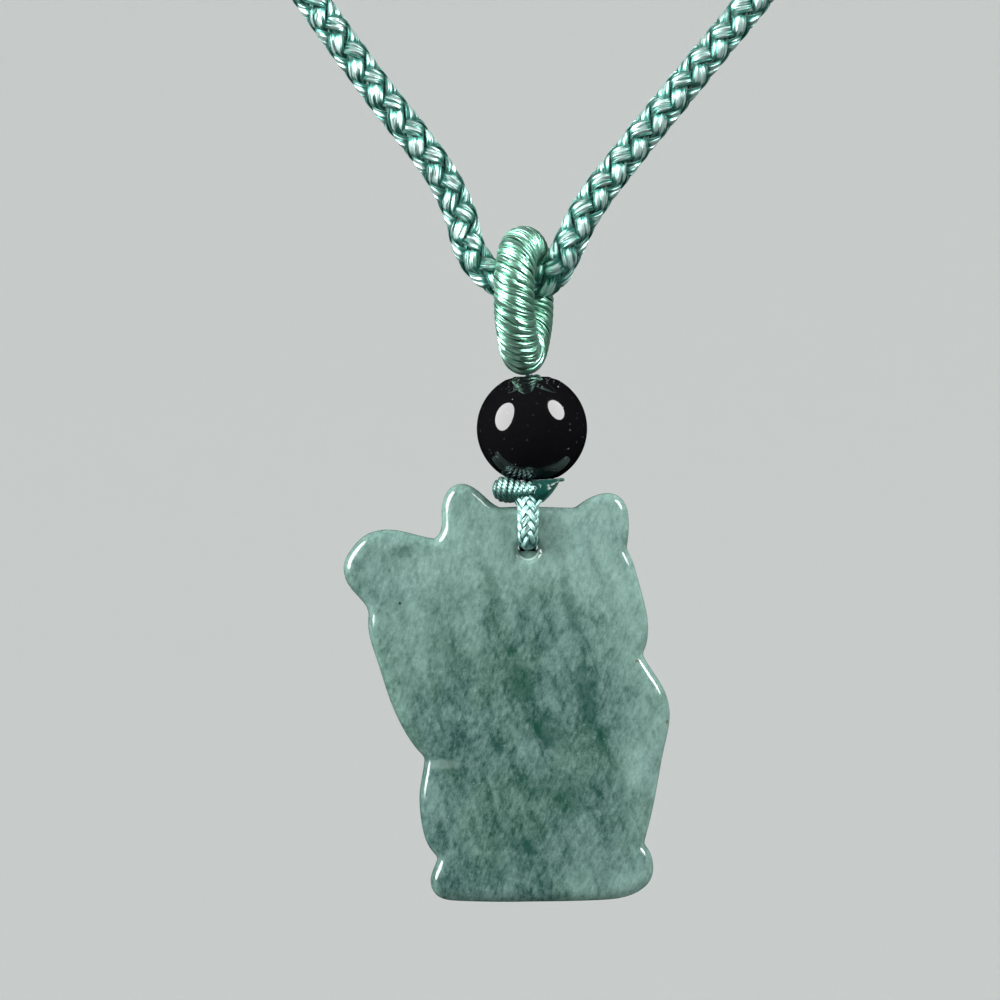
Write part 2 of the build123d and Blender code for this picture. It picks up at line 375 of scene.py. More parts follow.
class Paint:
    """A material that is built up from Python expressions."""

    def __init__(self, name):
        self.material = bpy.data.materials.new(name)
        self.material.use_nodes = True
        self.tree = self.material.node_tree
        self.tree.nodes.clear()

    def node(self, kind, settings=None, sockets=None, out=0):
        """Adds a node: its settings first, then the values or links of its sockets."""
        node = self.tree.nodes.new(kind)
        for key, value in (settings or {}).items():
            setattr(node, key, value)
        for key, value in (sockets or {}).items():
            socket = node.inputs[key]
            if isinstance(value, Sock):
                self.tree.links.new(value.socket, socket)
            elif socket.type == "RGBA":
                socket.default_value = (*value[:3], 1)
            else:
                socket.default_value = value
        return Sock(self, node.outputs[out]) if node.outputs else node

    def maths(self, operation, first, second=0.0):
        return self.node("ShaderNodeMath", {"operation": operation}, {0: first, 1: second})

    def step(self, value, low, high):
        """0 below low, 1 above high and smooth between them."""
        sockets = {"Value": value, "From Min": low, "From Max": high}
        return self.node("ShaderNodeMapRange", {"interpolation_type": "SMOOTHSTEP"}, sockets)

    def mix(self, share, first, second):
        """A colour between two colours."""
        return self.node("ShaderNodeMix", {"data_type": "RGBA"}, {0: share, 6: first, 7: second}, out=2)

    def vector(self, x, y, z=0.0):
        return self.node("ShaderNodeCombineXYZ", None, {"X": x, "Y": y, "Z": z})

    def parts(self, vector):
        """The three numbers of a vector."""
        split = self.node("ShaderNodeSeparateXYZ", None, {"Vector": vector})
        return [Sock(self, output) for output in split.socket.node.outputs]

    def place(self):
        """Object coordinates, in millimetres."""
        spot = self.node("ShaderNodeTexCoord", out=3)
        return self.node("ShaderNodeVectorMath", {"operation": "SCALE"}, {0: spot, "Scale": 1 / MM})

    def noise(self, vector, scale, detail=2.0, roughness=0.5, distortion=0.0):
        sockets = {"Vector": vector, "Scale": scale, "Detail": detail, "Roughness": roughness,
                   "Distortion": distortion}
        return self.node("ShaderNodeTexNoise", None, sockets)

    def finish(self, **sockets):
        """Ends the material in a Principled shader with these sockets, spaces written as underscores."""
        named = {key.replace("_", " "): value for key, value in sockets.items()}
        shader = self.node("ShaderNodeBsdfPrincipled", None, named)
        self.node("ShaderNodeOutputMaterial", None, {"Surface": shader})
        return self.material


# Materials

def tones(look):
    """The silk's colours: painted shade between the threads, the body's and a painted highlight on the
    crowns.
    """
    return look.painted_shade_colour, look.colour, look.painted_highlight_colour


def silk(name, colours, filaments=16, yarns=3, tilt=2.2, twine=0.7, roughness=0.44, lustre=0.8):
    """Bright silk thread: filaments run along it, each with its own lean, so light draws out across them.

    A thread has so many filaments round it, twisted into so many yarns. tilt and twine are how far the
    filaments and the yarns lean, and lustre is how much like metal the crowns shine under their painted
    highlight. Light and shade are painted into the colour from the attribute crown: painted shade where a
    thread lies under others or faces inward and in the grooves between its yarns, a painted highlight where
    it lies over them."""
    # The first colour is painted shade and the last a painted highlight
    deep, body, painted_highlight = colours
    paint = Paint(name)
    along, around, _ = paint.parts(paint.node("ShaderNodeUVMap", {"uv_map": "thread"}))
    crown = paint.node("ShaderNodeAttribute", {"attribute_name": "crown"}, out=2)
    drift = paint.noise(paint.vector(along * 0.3, around * 4.0, 3.0), 1.0, 1.0)
    lane = around * filaments + drift * 3.0
    fibre = paint.step(paint.noise(paint.vector(along * 0.5, lane), 1.0, 2.0), 0.32, 0.68)
    tress = paint.step(paint.noise(paint.vector(along * 0.7, lane * 0.3, 7.0), 1.0, 1.0), 0.3, 0.7)
    yarn = (around * (2 * yarns) + along * 0.12) * TURN
    lean = (fibre - 0.5) * tilt + (tress - 0.5) * (tilt * 0.35) - paint.maths("SINE", yarn) * twine
    bend = paint.node(
        "ShaderNodeNormalMap", {"uv_map": "thread"}, {"Color": paint.vector(0.5, lean * 0.5 + 0.5, 1.0)})
    # The fibres' own tone, with painted shade in the grooves between the yarns
    lines = (fibre - 0.5) * 0.45 + (tress - 0.5) * 0.3 - paint.maths("COSINE", yarn) * (twine * 0.3)
    # How much painted light the colour takes, from the painted shade up to the painted highlight
    light = paint.step(crown, 0.4, 0.9) * 0.95 + lines + 0.04
    shade = paint.mix(light, deep, body)
    shade = paint.mix(paint.step(light, 0.5, 1.0), shade, painted_highlight)
    # Where the painted highlight is, the silk also shines more like metal
    metal = paint.step(light, -0.1, 0.5) * lustre
    rough = fibre * 0.16 + (roughness - 0.08)
    return paint.finish(
        Base_Color=shade, Metallic=metal, Roughness=rough, Normal=bend, IOR=1.55,
        Sheen_Weight=0.15, Sheen_Roughness=0.4, Sheen_Tint=(0.75, 1.0, 0.93))


def fine_silk(look):
    return silk("fine_silk", tones(look), 8, 1, twine=0.3)


def sealed_silk(look):
    """Silk that was melted together with a flame: dark and slick, pale at its drawn-out tip."""
    colours = (look.painted_shade_colour, look.sealed_colour, SEALED_TIP)
    return silk("sealed_silk", colours, 5, 1, tilt=0.7, twine=0.2, roughness=0.22, lustre=0.1)


def black_stone(look):
    """Polished black stone, with faint dull streaks in its polish and pale specks, most of them on top."""
    paint = Paint("black_stone")
    place = paint.place()
    smear = paint.step(paint.noise(place, 0.55, 3.0, 0.6, 0.4), 0.45, 0.75)
    height = paint.parts(place)[2]
    middle = sum(corner.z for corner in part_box("black_bead")) / 2 / MM
    chipped = paint.step(height, middle + 2.4, middle + 3.6) * 0.08
    dust = paint.step(paint.noise(place, 6.5, 1.0) + chipped, 0.775, 0.8)
    shade = paint.mix(dust * 0.8, look.colour, DUST)
    return paint.finish(
        Base_Color=shade, Roughness=smear * 0.05 + dust * 0.4 + 0.04, IOR=1.54, Specular_IOR_Level=0.57)


def green_jade(look):
    """Grey-green jade: clouds, fibres, grains and veins, dark at its heart, with painted glow towards its
    rim.
    """
    paint = Paint("green_jade")
    place = paint.place()
    x, y, z = paint.parts(place)
    low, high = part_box("jade_cat")
    heart_x, heart_z = HEART_ACROSS, ((low.z + high.z) / 2) / MM - HEART_DROP
    warp = paint.noise(place, 0.22, 2.0)
    reach_x, reach_z = HEART_REACH
    out = ((x - heart_x) / reach_x) ** 2.0 + ((z - heart_z) / reach_z) ** 2.0 + (warp - 0.5) * 1.1
    # A painted glow of light through the thinner edges, paler towards the rim
    rim = paint.step(out, 0.15, 1.15)
    steep = fibres(paint, x, y, z, 108, 1.3, 0.34)
    slant = fibres(paint, x, y, z, 52, 2.0, 0.6)
    felt = fibres(paint, x, y, z, 74, 4.6, 1.3)
    cloud = paint.noise(place, 0.5, 4.0, 0.6, 0.3)
    grain = paint.noise(place, 3.0, 3.0, 0.75)
    streak = (steep - 0.5) * 0.64 + (slant - 0.5) * 0.5 + (felt - 0.5) * 0.66
    tone = rim * 0.42 + (cloud - 0.5) * 0.5 + streak + (grain - 0.5) * 0.6 + 0.19
    # The left side, beyond 6.5 mm left of the hole's axis, is darker, with less of the painted glow
    tone = tone - paint.step(x * -1.0, 6.5, 10.0) * 0.18
    green = paint.step(paint.noise(paint.vector(x + 40.0, y, z), 0.2, 2.0), 0.4, 0.6)
    body = paint.mix(green, look.colour, look.green_colour)
    shade = paint.mix(tone, body, look.cloud_colour)
    dark = 0.0
    for across, down, reach_x, reach_z, lean, depth in VEINS:
        turn = math.radians(lean)
        right, rise = x - across, z - (JADE_CROWN - down)
        along = right * math.sin(turn) + rise * math.cos(turn)
        beside = right * math.cos(turn) - rise * math.sin(turn)
        away = (along / reach_z) ** 2.0 + (beside / reach_x) ** 2.0
        away = away + (cloud - 0.5) * 3.0 + (grain - 0.5) * 1.5
        dark = (1 - paint.step(away, 0.0, 1.5)) * depth + dark
    thread = paint.step(1 - steep, 0.56, 0.72) * (1 - rim) * 0.5
    shade = paint.mix(dark + thread, shade, look.vein_and_shade_colour)
    spark = paint.step(paint.noise(place, 4.2, 1.0), 0.745, 0.8)
    shade = paint.mix(spark * 0.35, shade, SPARK)
    near_face = 1 - paint.step(y, *NEAR_FACE)
    # Marks of the near face, among them a pale smear of painted light
    for across, down, reach_x, reach_z, strength, colour in MARKS:
        away = ((x - across) / reach_x) ** 2.0 + ((z - (JADE_CROWN - down)) / reach_z) ** 2.0
        away = away + (felt - 0.5) * 2.4
        shade = paint.mix((1 - paint.step(away, 0.0, 1.4)) * near_face * strength, shade, srgb(*colour))
    away = (x ** 2.0 + (z - (JADE_CROWN - HOLE_DOWN)) ** 2.0) ** 0.5
    # Painted shade inside the hole
    shade = paint.mix((1 - paint.step(away, 0.66, 0.8)) * 0.45, shade, look.vein_and_shade_colour)
    # A pale ring round the hole's mouth, a painted highlight
    painted_hole_highlight = paint.step(away, 0.7, 0.77) * (1 - paint.step(away, 0.8, 0.87)) * (0.2 + grain)
    shade = paint.mix(painted_hole_highlight, shade, PAINTED_HOLE_HIGHLIGHT)
    # Painted shade in the far side's grooves, in the vein colour
    carved = paint.node("ShaderNodeAttribute", {"attribute_name": "carved"}, out=2)
    shade = paint.mix(carved * 0.5, shade, look.vein_and_shade_colour)
    return paint.finish(
        Base_Color=shade, Roughness=grain * 0.06 + 0.1, IOR=1.6, Specular_IOR_Level=0.7,
        Subsurface_Weight=0.35, Subsurface_Radius=(0.75, 1.0, 0.85), Subsurface_Scale=look.glow_depth)


def fibres(paint, x, y, z, lean, fineness, length):
    """Noise drawn out along a line that leans by so many degrees from the horizontal."""
    turn = math.radians(lean)
    along = x * math.cos(turn) + z * math.sin(turn)
    beside = z * math.cos(turn) - x * math.sin(turn)
    drawn = paint.vector(beside * fineness, y * fineness * 0.5, along * length)
    return paint.noise(drawn, 1.0, 4.0, 0.65, 0.4)


def pale_floor(look):
    """Matt pale board with a faint grain."""
    paint = Paint("pale_floor")
    spot = paint.node("ShaderNodeTexCoord", out=3)
    grain = paint.noise(spot, 900.0, 2.0)
    shade = paint.mix(grain * 0.12, look.floor_colour, FLOOR_GRAIN)
    return paint.finish(Base_Color=shade, Roughness=0.85)


# Lines and threads

def smooth_line(points):
    """Points along the smooth NURBS curve of a route, in metres."""
    curve = bpy.data.curves.new("route", "CURVE")
    curve.dimensions = "3D"
    spline = curve.splines.new("NURBS")
    spline.points.add(len(points) - 1)
    for knot, point in zip(spline.points, points):
        knot.co = (*point, 1)
    spline.order_u = 3
    spline.use_endpoint_u = True
    spline.resolution_u = 24
    line = bpy.data.objects.new("route", curve)
    bpy.context.scene.collection.objects.link(line)
    bpy.context.view_layer.update()
    mesh = bpy.data.meshes.new_from_object(line)
    found = np.array([vertex.co for vertex in mesh.vertices])
    bpy.data.objects.remove(line)
    bpy.data.curves.remove(curve)
    bpy.data.meshes.remove(mesh)
    return found


def lengths_along(points):
    """Length from the start of a line to each of its points."""
    steps = np.linalg.norm(np.diff(points, axis=0), axis=1)
    return np.concatenate([[0.0], np.cumsum(steps)])


def at_lengths(points, stations):
    """The points of a line at given lengths from its start."""
    lengths = lengths_along(points)
    return np.stack([np.interp(stations, lengths, points[:, axis]) for axis in range(3)], axis=1)


UPWARD = np.array([0, 0, 1.0])


def unit(vectors):
    return vectors / np.linalg.norm(vectors, axis=-1, keepdims=True)


def round_x(angle):
    """Unit vectors that turn about the X axis, from +Y towards +Z."""
    return np.stack([0 * angle, np.cos(angle), np.sin(angle)], axis=1)


def facing_frame(points, facing):
    """Two directions across a line at each of its points, the second as near as can be to facing."""
    along = unit(np.gradient(points, axis=0))
    up = unit(facing - along * (along @ facing)[:, None])
    return np.cross(up, along), up


def carried_frame(points, start):
    """Two directions across a line at each of its points, carried along it without twist."""
    along = unit(np.gradient(points, axis=0))
    across = [unit(start - along[0] * np.dot(start, along[0]))]
    for before, after in zip(along, along[1:]):
        turned = across[-1] - after * np.dot(across[-1], after)
        across.append(turned / np.linalg.norm(turned))
    across = np.array(across)
    return across, np.cross(along, across)


class Threads:
    """Gathers threads into one mesh, with UV map "thread" and attribute "crown" for painted light and shade.
    """

    def __init__(self):
        self.points = []
        self.faces = []
        self.uvs = []
        self.crowns = []
        self.count = 0

    def add(self, centres, outward, width, thickness, crown, sides=10, closed=False):
        """One thread of oval section. Its thickness goes outward, and its seam is on the inner side.

        outward may be one direction for all of it, and width, thickness and crown one number each."""
        if closed:
            along = unit(np.roll(centres, -1, axis=0) - np.roll(centres, 1, axis=0))
        else:
            along = unit(np.gradient(centres, axis=0))
        out = unit(outward - along * np.sum(outward * along, axis=1, keepdims=True))
        side = np.cross(along, out)
        angle = np.arange(sides) * TURN / sides + math.pi
        width, thickness, crown = (
            np.broadcast_to(value, (len(centres),))[:, None, None] for value in (width, thickness, crown))
        rings = centres[:, None, :] + out[:, None, :] * (thickness / 2) * np.cos(angle)[None, :, None]
        rings = rings + side[:, None, :] * (width / 2) * np.sin(angle)[None, :, None]
        # The crown peaks on the outward face for the painted highlight, and is 0 inside for the painted
        # shade
        self.crowns.append((crown[:, 0] * (0.5 + 0.5 * np.cos(angle))).ravel())
        self.points.append(rings.reshape(-1, 3))
        self.weave_faces(centres, sides, closed)
        self.count += rings.shape[0] * sides

    def weave_faces(self, centres, sides, closed):
        """The quads of one thread and where they are in the UV map: millimetres along, share round."""
        rings = len(centres)
        line = np.vstack([centres, centres[:1]]) if closed else centres
        lengths = lengths_along(line) / MM
        base = self.count
        for ring in range(rings if closed else rings - 1):
            after = (ring + 1) % rings
            low, high = lengths[ring], lengths[ring + 1]
            for side in range(sides):
                beside = (side + 1) % sides
                self.faces.append((
                    base + ring * sides + side, base + ring * sides + beside,
                    base + after * sides + beside, base + after * sides + side))
                left, right = side / sides, (side + 1) / sides
                self.uvs.extend((low, left, low, right, high, right, high, left))
        if not closed:
            self.faces.append(tuple(base + side for side in reversed(range(sides))))
            self.faces.append(tuple(base + (rings - 1) * sides + side for side in range(sides)))
            self.uvs.extend((0.0, 0.0) * (2 * sides))

    def piece(self, name, material):
        """The finished object, smooth shaded."""
        mesh = bpy.data.meshes.new(name)
        mesh.from_pydata(np.vstack(self.points), [], self.faces)
        layer = mesh.uv_layers.new(name="thread")
        layer.uv.foreach_set("vector", np.array(self.uvs, np.float32))
        crown = mesh.attributes.new("crown", "FLOAT", "POINT")
        crown.data.foreach_set("value", np.concatenate(self.crowns).astype(np.float32))
        mesh.shade_smooth()
        mesh.materials.append(material)
        piece = bpy.data.objects.new(name, mesh)
        bpy.context.scene.collection.objects.link(piece)
        return piece


# How far a braid's strands dip, as a share of their thickness, and how rounded their waves are
BRAID_DEPTH = 0.42
BRAID_FLATNESS = 0.35

# How far each strand sways round the cord, and by what share its width swells
SWAY = 0.05
SWELL = 0.06


def braid(line, across, up, radius, pitch, per_side, over, width, thickness, turned=0.0, seed=1):
    """The strands of a round braid: per_side go each way round, each over some others, then under as many.

    line, across and up give the cord's middle line and two directions across it. radius may be a pair, for
    a cord that is pressed flat: its reach along across and along up. Each strand comes as its centres, its
    way out, its width, its thickness and how high it lies, from 0 under the others to 1 over them."""
    chance = np.random.default_rng(seed)
    wide, deep = radius if isinstance(radius, tuple) else (radius, radius)
    lengths = lengths_along(line)
    depth = thickness * BRAID_DEPTH
    for way in (1, -1):
        for strand in range(per_side):
            angle = TURN * strand / per_side + way * TURN * lengths / pitch
            wave = np.cos(angle * per_side / over - math.pi * (over - 1) / (2 * over)) * way
            lift = wave / np.sqrt(wave**2 + BRAID_FLATNESS) * math.sqrt(1 + BRAID_FLATNESS)
            sway = np.sin(lengths / pitch * chance.uniform(2.2, 3.4) + chance.uniform(0, TURN))
            turn = angle + turned + SWAY * sway
            sink = depth * (1 - lift) + thickness / 2
            outward = np.cos(turn)[:, None] * across + np.sin(turn)[:, None] * up
            reach_across = (np.cos(turn) * (wide - sink))[:, None] * across
            reach_up = (np.sin(turn) * (deep - sink))[:, None] * up
            swell = 1 + SWELL * np.sin(lengths / pitch * chance.uniform(4, 7) + chance.uniform(0, TURN))
            yield line + reach_across + reach_up, outward, width * swell, thickness * swell, (wave + 1) / 2


def fit_to_frame(piece, body, slot, *nodes):
    """The piece moves with its body and takes the place of its nodes."""
    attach(piece, body)
    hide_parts(*nodes)


def deselect():
    bpy.ops.object.select_all(action="DESELECT")


def choose(piece):
    """Makes one object the only selected one and the active one."""
    deselect()
    piece.select_set(True)
    bpy.context.view_layer.objects.active = piece


# Pieces

class PENDANT_OT_necklace_cord(bpy.types.Operator):
    """Braids the necklace cord from eight silk strands, in a left and a right half"""

    bl_idname = "pendant.necklace_cord"
    bl_label = "Braid the necklace cord"

    # Within NEAR of the pendant the cord has a point each NEAR_STEP, and further up each FAR_STEP
    NEAR = 60 * MM
    NEAR_STEP = 0.22 * MM
    FAR_STEP = 0.36 * MM
    CORE = 1.7 * MM
    # The cord twists by half the angle between two strands, either way, within so much of its middle
    IN_LOOP = 8 * MM
    HALF_STRAND = math.pi / 8

    def execute(self, context):
        look = context.scene.pendant_cord
        route = smooth_line([[value * MM for value in point] for point in CORD_ROUTE])
        whole = lengths_along(route)[-1]
        stations, middle = self.stations(whole)
        line = at_lengths(route, stations)
        across, up = facing_frame(line, np.array([0, -1.0, 0]))
        away = np.clip((stations - whole / 2) / self.IN_LOOP, -1, 1)
        turned = -self.HALF_STRAND * np.sin(away * math.pi / 2)
        halves = {
            "necklace_braid_left": slice(None, middle + 1),
            "necklace_braid_right": slice(middle, None),
        }
        material = silk("braided_silk", tones(look))
        strands = list(braid(
            line, across, up, look.diameter / 2, look.pitch, 4, 1, look.strand_width, look.strand_thickness,
            turned=turned, seed=5))
        for name, half in halves.items():
            threads = Threads()
            for strand in strands:
                threads.add(*[values[half] for values in strand], sides=10)
            # The core takes crown 0, so it is in the painted-shade colour
            threads.add(line[half], up[half], self.CORE, self.CORE, 0.0, sides=8)
            fit_to_frame(threads.piece(name, material), "root", "braided_silk", "necklace_cord")
        return {"FINISHED"}

    def stations(self, whole):
        """Lengths along the cord, closer together by the pendant, and which of them is the middle."""
        near = np.arange(self.NEAR_STEP, self.NEAR, self.NEAR_STEP)
        far = np.arange(self.NEAR, whole / 2 - self.FAR_STEP / 2, self.FAR_STEP)
        away = np.concatenate([near, far, [whole / 2]])
        return np.concatenate([whole / 2 - away[::-1], [whole / 2], whole / 2 + away]), len(away)


class PENDANT_OT_closing_sleeve(bpy.types.Operator):
    """Winds the sleeve that closes the necklace cord at the nape"""

    bl_idname = "pendant.closing_sleeve"
    bl_label = "Wind the closing sleeve"

    SAMPLES = 20
    # Shares of the thread's thickness: its width, how far its end turns sink, and the lining's place
    OVERLAP = 1.06
    SHOULDER = 0.35
    LINING_INSET = 0.3
    LINING_DEPTH = 1.1

    def execute(self, context):
        look = context.scene.pendant_cord
        low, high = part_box("closing_sleeve")
        middle = (low + high) / 2
        radius = (high.z - low.z) / 2
        thread = look.sleeve_thread
        turns = round((high.x - low.x) / thread) - 1
        part = np.linspace(0, 1, turns * self.SAMPLES + 1)
        angle = part * turns * TURN
        shoulder = np.minimum(part, 1 - part) * turns
        reach = radius - thread / 2 - self.SHOULDER * thread * np.clip(1 - shoulder, 0, 1)
        threads = Threads()
        outward = round_x(angle)
        centres = outward * reach[:, None] + np.array(middle)
        centres[:, 0] = low.x + thread / 2 + part * (high.x - low.x - thread)
        threads.add(centres, outward, thread * self.OVERLAP, thread, 1.0, sides=8)
        inset = self.LINING_INSET * thread
        lining = np.array([(low.x + inset, middle.y, middle.z), (high.x - inset, middle.y, middle.z)])
        across = (radius - thread * self.LINING_DEPTH) * 2
        # The lining takes crown 0, so it is in the painted-shade colour
        threads.add(lining, UPWARD, across, across, 0.0, sides=32)
        piece = threads.piece("nape_sleeve", silk("wound_thread", tones(look), 8, 1, twine=0.2))
        fit_to_frame(piece, "root", "wound_thread", "closing_sleeve")
        return {"FINISHED"}


OVAL_STEPS = 720


def oval_line(centre, side, axis, height, span, drawn, samples):
    """An upright oval, its lower half drawn together by a share: its points, the way out and its length."""
    radius = span / 2
    straight = height - span
    half = straight + math.pi * radius
    points = []
    for station in np.linspace(0, 2 * half, OVAL_STEPS + 1)[:-1]:
        part = (station + straight / 2) % half
        sign = 1 if (station + straight / 2) % (2 * half) < half else -1
        angle = max(0.0, part - straight) / radius
        flat = radius * math.cos(angle) * sign
        rise = (min(part, straight) - straight / 2 + radius * math.sin(angle)) * sign
        low = min(1.0, max(0.0, -2 * rise / height))
        flat *= 1 - drawn * low * low * (3 - 2 * low)
        points.append(centre + side * flat + np.array([0, 0, rise]))
    line = np.vstack([points, points[:1]])
    whole = lengths_along(line)[-1]
    line = at_lengths(line, np.arange(samples) / samples * whole)
    along = unit(np.roll(line, -1, axis=0) - np.roll(line, 1, axis=0))
    return line, np.cross(along, axis), whole


class PENDANT_OT_wound_loop(bpy.types.Operator):
    """Winds the oval loop: threads run side by side on a slant round its whole length"""

    bl_idname = "pendant.wound_loop"
    bl_label = "Wind the loop"

    STRAND = 3.05 * MM
    SPAN = 6.0 * MM
    DRAWN = 0.3
    # Points round the oval for the winding, of which every fourth is used, and for its core
    SAMPLES = 1120
    KEPT = 4
    CORE_SAMPLES = 96
    OVERLAP = 1.02
    CORE_DEPTH = 1.3

    def execute(self, context):
        look = context.scene.pendant_loop
        low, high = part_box("wrapped_loop")
        centre = np.array((low + high) / 2)
        axis = np.array(frame["joints"][0]["axis"])
        side = np.cross(UPWARD, axis)
        height = high.z - low.z - self.STRAND
        rounds = look.threads
        oval = (centre, side, axis, height, self.SPAN, self.DRAWN)
        line, outward, whole = oval_line(*oval, self.SAMPLES)
        outward = outward * np.sign(np.sum(outward * (line - centre)))
        reach = self.STRAND / 2 - look.ridge / 2
        line, outward = np.tile(line, (rounds, 1)), np.tile(outward, (rounds, 1))
        part = np.arange(len(line)) / len(line)
        angle = part * look.crossings * TURN
        radial = np.cos(angle)[:, None] * outward + np.sin(angle)[:, None] * axis
        centres = line + radial * reach
        spread = 1 + self.bend(outward, whole) * np.cos(angle) * reach
        apart = whole / look.crossings
        slant = math.atan2(apart * rounds, TURN * reach)
        width = apart * math.cos(slant) * self.OVERLAP * spread
        kept = slice(None, None, self.KEPT)
        threads = Threads()
        threads.add(centres[kept], radial[kept], width[kept], look.ridge, 1.0, sides=12, closed=True)
        core, core_out, _ = oval_line(*oval, self.CORE_SAMPLES)
        across = self.STRAND - self.CORE_DEPTH * look.ridge
        # The core takes crown 0, so it is in the painted-shade colour
        threads.add(core, core_out, across, across, 0.0, sides=24, closed=True)
        material = silk("wound_silk", tones(look), 14, 1, tilt=1.8, twine=0.1, roughness=0.36, lustre=0.95)
        piece = threads.piece("wound_loop", material)
        fit_to_frame(piece, "drop", "wound_silk", "wrapped_loop")
        return {"FINISHED"}

    def bend(self, outward, whole):
        """How sharply the oval bends at each point: nothing on its straight sides."""
        turned = np.linalg.norm(np.roll(outward, -1, axis=0) - outward, axis=1)
        return turned / (whole / self.SAMPLES)


class PENDANT_OT_black_bead(bpy.types.Operator):
    """Turns the drilled bead from its profile"""

    bl_idname = "pendant.black_bead"
    bl_label = "Turn the bead"

    ARC_STEPS = 48
    SPIN_STEPS = 128
    ARC_END = 0.25 * MM
    RING = [(0.12, 0.1), (-0.05, 0.015), (-0.25, 0.03)]  # out from the ring's edge and down, in millimetres
    MOUTH = [(0.12, 0.1), (0.03, 0.2), (0.0, 0.4)]  # out from the bore and down, in millimetres

    def execute(self, context):
        look = context.scene.pendant_bead
        low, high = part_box("black_bead")
        middle = (low + high) / 2
        radius = (high.x - low.x) / 2
        half = (high.z - low.z) / 2
        profile = self.profile(radius, half, look)
        deselect()
        bpy.ops.mesh.primitive_circle_add(vertices=3, radius=radius, location=middle)
        piece = context.object
        piece.name = "round_bead"
        mesh = bmesh.new()
        spots = [mesh.verts.new((across, 0, up)) for across, up in profile]
        for first, second in zip(spots, spots[1:] + spots[:1]):
            mesh.edges.new((first, second))
        mesh.to_mesh(piece.data)
        mesh.free()
        bpy.ops.object.mode_set(mode="EDIT")
        bpy.ops.mesh.select_all(action="SELECT")
        bpy.ops.mesh.spin(steps=self.SPIN_STEPS, angle=TURN, center=middle, axis=(0, 0, 1))
        bpy.ops.mesh.select_all(action="SELECT")
        bpy.ops.mesh.remove_doubles(threshold=1e-7)
        bpy.ops.mesh.normals_make_consistent(inside=False)
        bpy.ops.object.mode_set(mode="OBJECT")
        bpy.ops.object.transform_apply(location=True, rotation=True, scale=True)
        piece.data.shade_smooth()
        piece.data.materials.append(black_stone(look))
        fit_to_frame(piece, "drop", "black_stone", "black_bead")
        return {"FINISHED"}

    def profile(self, radius, half, look):
        """Half section of the bead: the ball, a ground ring at each mouth, rounded mouths and the bore."""
        ring = look.dish / 2
        bore = look.bore / 2
        top = math.asin(min(1, (half - self.ARC_END) / radius))
        arc = [
            (radius * math.cos(angle), radius * math.sin(angle))
            for angle in np.linspace(-top, top, self.ARC_STEPS + 1)
        ]
        mouth = [
            (edge + out * MM, half - down * MM)
            for edge, places in ((ring, self.RING), (bore, self.MOUTH)) for out, down in places
        ]
        foot = [(across, -up) for across, up in reversed(mouth)]
        return arc + mouth + foot


class PENDANT_OT_thin_braid(bpy.types.Operator):
    """Braids the thin cord over both faces of the jade and through its hole"""

    bl_idname = "pendant.thin_braid"
    bl_label = "Braid the thin cord"

    RUN = [
        # (in from the face, up from its level, level: 0 knot, 1 crown, 2 hole), in millimetres
        (0.8, 0.0, 0), (0.15, 0.0, 1), (0.0, 1.0, 2), (0.05, 0.3, 2), (0.6, 0.0, 2),
    ]
    INTO_KNOT = 0.7 * MM
    BELOW_CROWN = 1.8 * MM
    FAR_LIFTED = 0.15
    POINTS = 130
    STRAND = (0.45 * MM, 0.2 * MM)
    # Its middle lies in the hole, where its crowns are darkened for painted shade: how far each way as a
    # share, over what share the painted shade fades, and how dark it is
    IN_HOLE = (0.24, 0.05, 0.75)
    WIDTHS = [
        # (share of the way, half width, half depth), in millimetres
        (0.0, 0.84, 0.66), (0.12, 0.84, 0.70), (0.29, 0.73, 0.62), (0.36, 0.68, 0.46), (0.42, 0.64, 0.38),
        (0.58, 0.64, 0.38), (0.64, 0.68, 0.46), (0.71, 0.73, 0.62), (0.88, 0.84, 0.70), (1.0, 0.84, 0.66),
    ]

    def execute(self, context):
        look = context.scene.pendant_hanger
        low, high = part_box("hanging_cord")
        radius = look.diameter / 2
        front, far = low.y + radius, high.y - radius
        hole = low.z + radius
        rest, far_rest = hole + look.lifted, hole + look.lifted * self.FAR_LIFTED
        levels = (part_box("knot")[0].z + self.INTO_KNOT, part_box("jade_cat")[1].z - self.BELOW_CROWN)
        route = smooth_line([
            *self.run(front, 1, *levels, rest), (0, (front + far) / 2, (rest + far_rest) / 2),
            *reversed(self.run(far, -1, *levels, far_rest))])
        whole = lengths_along(route)[-1]
        stations = np.linspace(0, whole, self.POINTS)
        line = at_lengths(route, stations)
        across, up = carried_frame(line, np.array([1.0, 0, 0]))
        share, wide, deep = np.array(self.WIDTHS).T
        wide = np.interp(stations / whole, share, wide) * MM
        deep = np.interp(stations / whole, share, deep) * MM
        inside, fade, dark = self.IN_HOLE
        # Painted shade in the hole: the braid's crowns are darkened there
        painted_hole_shade = 1 - dark * np.clip((inside - np.abs(stations / whole - 0.5)) / fade, 0, 1)
        threads = Threads()
        for *strand, lift in braid(
                line, across, up, (wide, deep), look.pitch, 8, 2, *self.STRAND, turned=math.pi / 16, seed=3):
            threads.add(*strand, (0.45 + 0.55 * lift) * painted_hole_shade, sides=8)
        # The first colour is painted shade between the strands; the body takes the painted-highlight colour
        # too
        colours = (THIN_BRAID_PAINTED_SHADE, look.painted_highlight_colour, look.painted_highlight_colour)
        piece = threads.piece("hanging_braid", silk("hanging_silk", colours, 8, 1, twine=0.3))
        fit_to_frame(piece, "drop", "fine_braid", "hanging_cord")
        return {"FINISHED"}

    def run(self, face, inward, *levels):
        """The route over one face of the jade, from the knot down into the hole."""
        return [(0, face + inward * lean * MM, levels[level] + up * MM) for lean, up, level in self.RUN]


